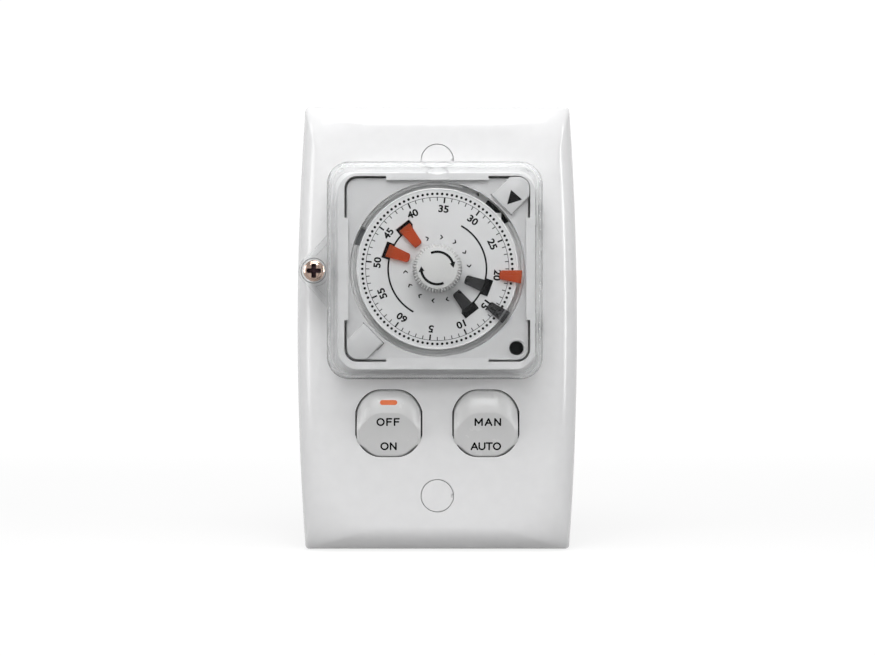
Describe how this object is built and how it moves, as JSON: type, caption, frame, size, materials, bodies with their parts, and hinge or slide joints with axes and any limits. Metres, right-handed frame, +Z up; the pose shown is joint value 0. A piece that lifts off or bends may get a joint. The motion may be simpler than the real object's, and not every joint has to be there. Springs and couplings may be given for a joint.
{
  "type": "time clock",
  "caption": "Wall-plate time clock: a dial with tappets and a setting knob behind a hinged clear cover, above two rocker switches.",
  "frame": {"origin": "centre of the plate's back plane, midway between the two fixing holes", "axes": "+X to the right as seen from the front, +Y into the wall, +Z up"},
  "size_m": [0.071, 0.06, 0.1122],
  "materials": {
    "white_plate": "smooth white moulding",
    "white_trim": "smooth white moulding",
    "white_matte": "fine satin white",
    "clear": "clear polycarbonate",
    "dial_white": "white disc with black printing",
    "knob_white": "translucent white",
    "tappet_orange": "translucent orange",
    "tappet_grey": "translucent dark grey",
    "black": "black",
    "screw_copper": "bright copper plated",
    "steel": "zinc plated",
    "brass": "bright brass",
    "case_grey": "grey moulding",
    "acetal": "natural acetal"
  },
  "bodies": {
    "plate": {"wall_plate": "white_plate", "screw_cap_top": "white_plate", "screw_cap_bottom": "white_plate", "timer_surround": "white_trim", "hinge_pin_top": "steel", "hinge_pin_bottom": "steel", "timer_fascia": "white_matte", "pointer_tab": "white_matte", "corner_tab": "white_matte", "timer_case": "case_grey", "case_screw_1": "steel", "case_screw_2": "steel", "case_screw_3": "steel", "case_screw_4": "steel", "gear_plate": "steel", "idler_axle": "steel", "motor_can": "steel", "microswitch_body": "black", "timer_line_terminal": "brass", "timer_line_screw": "steel", "timer_load_terminal": "brass", "timer_load_screw": "steel", "switch_body_left": "case_grey", "switch_line_left_terminal": "brass", "switch_line_left_screw": "steel", "switch_load_left_terminal": "brass", "switch_load_left_screw": "steel", "switch_body_right": "case_grey", "switch_line_right_terminal": "brass", "switch_line_right_screw": "steel", "switch_load_right_terminal": "brass", "switch_load_right_screw": "steel"},
    "cover": {"clear_cover": "clear"},
    "washer": {"screw_washer": "steel"},
    "screw": {"cover_screw": "screw_copper"},
    "dial": {"dial_disc": "dial_white", "setting_knob": "knob_white", "dial_spindle": "steel", "dial_gear": "acetal"},
    "idler": {"idler_gear": "acetal"},
    "pinion": {"motor_pinion": "brass"},
    "lever": {"trip_lever": "black"},
    "button": {"microswitch_plunger": "acetal"},
    "override": {"override_spindle": "black"},
    "tappet_spare_on_1_body": {"tappet_spare_on_1": "tappet_orange"},
    "tappet_spare_on_2_body": {"tappet_spare_on_2": "tappet_orange"},
    "tappet_spare_off_1_body": {"tappet_spare_off_1": "tappet_grey"},
    "tappet_spare_off_2_body": {"tappet_spare_off_2": "tappet_grey"},
    "tappet_set_on_body": {"tappet_set_on": "tappet_orange"},
    "tappet_set_off_body": {"tappet_set_off": "tappet_grey"},
    "rocker_body_left": {"rocker_left": "white_trim", "plunger_left": "acetal", "plunger_spring_left": "steel", "indicator_bar": "tappet_orange"},
    "contact_body_left": {"moving_contact_left": "brass"},
    "rocker_body_right": {"rocker_right": "white_trim", "plunger_right": "acetal", "plunger_spring_right": "steel"},
    "contact_body_right": {"moving_contact_right": "brass"}
  },
  "joints": [
    {"name": "dial_turn", "type": "hinge", "parent": "plate", "child": "dial", "pos_m": [0, -0.0128, 0.0146], "axis": [0, 1, 0], "continuous": true},
    {"name": "idler_turn", "type": "hinge", "parent": "plate", "child": "idler", "pos_m": [0.0128, -0.006, 0.0018], "axis": [0, 1, 0], "continuous": true},
    {"name": "pinion_turn", "type": "hinge", "parent": "plate", "child": "pinion", "pos_m": [0.00672, -0.005, 0.00788], "axis": [0, 1, 0], "continuous": true},
    {"name": "cover_hinge", "type": "hinge", "parent": "plate", "child": "cover", "pos_m": [0.02535, -0.0113, 0.0146], "axis": [0, 0, 1], "range_deg": [0, 95]},
    {"name": "screw_lift", "type": "slide", "parent": "cover", "child": "washer", "axis": [0, -1, 0], "range_m": [0, 0.0048]},
    {"name": "screw_turn", "type": "hinge", "parent": "washer", "child": "screw", "pos_m": [-0.0304, -0.015, 0.0141], "axis": [0, -1, 0], "range_deg": [0, 2520]},
    {"name": "lever_swing", "type": "hinge", "parent": "plate", "child": "lever", "pos_m": [0.00841, -0.0109, 0.0272], "axis": [0, 1, 0], "range_deg": [0, 8]},
    {"name": "button_press", "type": "slide", "parent": "plate", "child": "button", "axis": [1, 0, 0], "range_m": [0, 0.000648], "stiffness_N_per_m": 10, "springref_m": -0.0001},
    {"name": "override_turn", "type": "hinge", "parent": "plate", "child": "override", "pos_m": [0.0196, -0.012, -0.005], "axis": [0, 1, 0], "continuous": true},
    {"name": "pull_spare_on_1", "type": "slide", "parent": "dial", "child": "tappet_spare_on_1_body", "axis": [0, -1, 0], "range_m": [0, 0.0035]},
    {"name": "pull_spare_on_2", "type": "slide", "parent": "dial", "child": "tappet_spare_on_2_body", "axis": [0, -1, 0], "range_m": [0, 0.0035]},
    {"name": "pull_spare_off_1", "type": "slide", "parent": "dial", "child": "tappet_spare_off_1_body", "axis": [0, -1, 0], "range_m": [0, 0.0035]},
    {"name": "pull_spare_off_2", "type": "slide", "parent": "dial", "child": "tappet_spare_off_2_body", "axis": [0, -1, 0], "range_m": [0, 0.0035]},
    {"name": "pull_set_on", "type": "slide", "parent": "dial", "child": "tappet_set_on_body", "axis": [0, -1, 0], "range_m": [0, 0.0035]},
    {"name": "pull_set_off", "type": "slide", "parent": "dial", "child": "tappet_set_off_body", "axis": [0, -1, 0], "range_m": [0, 0.0035]},
    {"name": "rocker_left_swing", "type": "hinge", "parent": "plate", "child": "rocker_body_left", "pos_m": [-0.01215, 0.0005, -0.02386], "axis": [-1, 0, 0], "range_deg": [0, 28.8]},
    {"name": "contact_left_swing", "type": "hinge", "parent": "plate", "child": "contact_body_left", "pos_m": [-0.01215, 0.0074, -0.02386], "axis": [1, 0, 0], "range_deg": [0, 12]},
    {"name": "rocker_right_swing", "type": "hinge", "parent": "plate", "child": "rocker_body_right", "pos_m": [0.01215, 0.0005, -0.02386], "axis": [-1, 0, 0], "range_deg": [0, 28.8]},
    {"name": "contact_right_swing", "type": "hinge", "parent": "plate", "child": "contact_body_right", "pos_m": [0.01215, 0.0074, -0.02386], "axis": [1, 0, 0], "range_deg": [0, 12]}
  ],
  "couplings": [
    {"joint": "idler_turn", "follows": "dial_turn", "ratio": -5},
    {"joint": "pinion_turn", "follows": "dial_turn", "ratio": 12},
    {"joint": "screw_turn", "follows": "screw_lift", "rad_per_m": 8976},
    {"joint": "lever_swing", "follows": "button_press", "rad_per_m": 188.68},
    {"joint": "contact_left_swing", "follows": "rocker_left_swing", "ratio": 0.34722},
    {"joint": "contact_right_swing", "follows": "rocker_right_swing", "ratio": 0.34722}
  ]
}
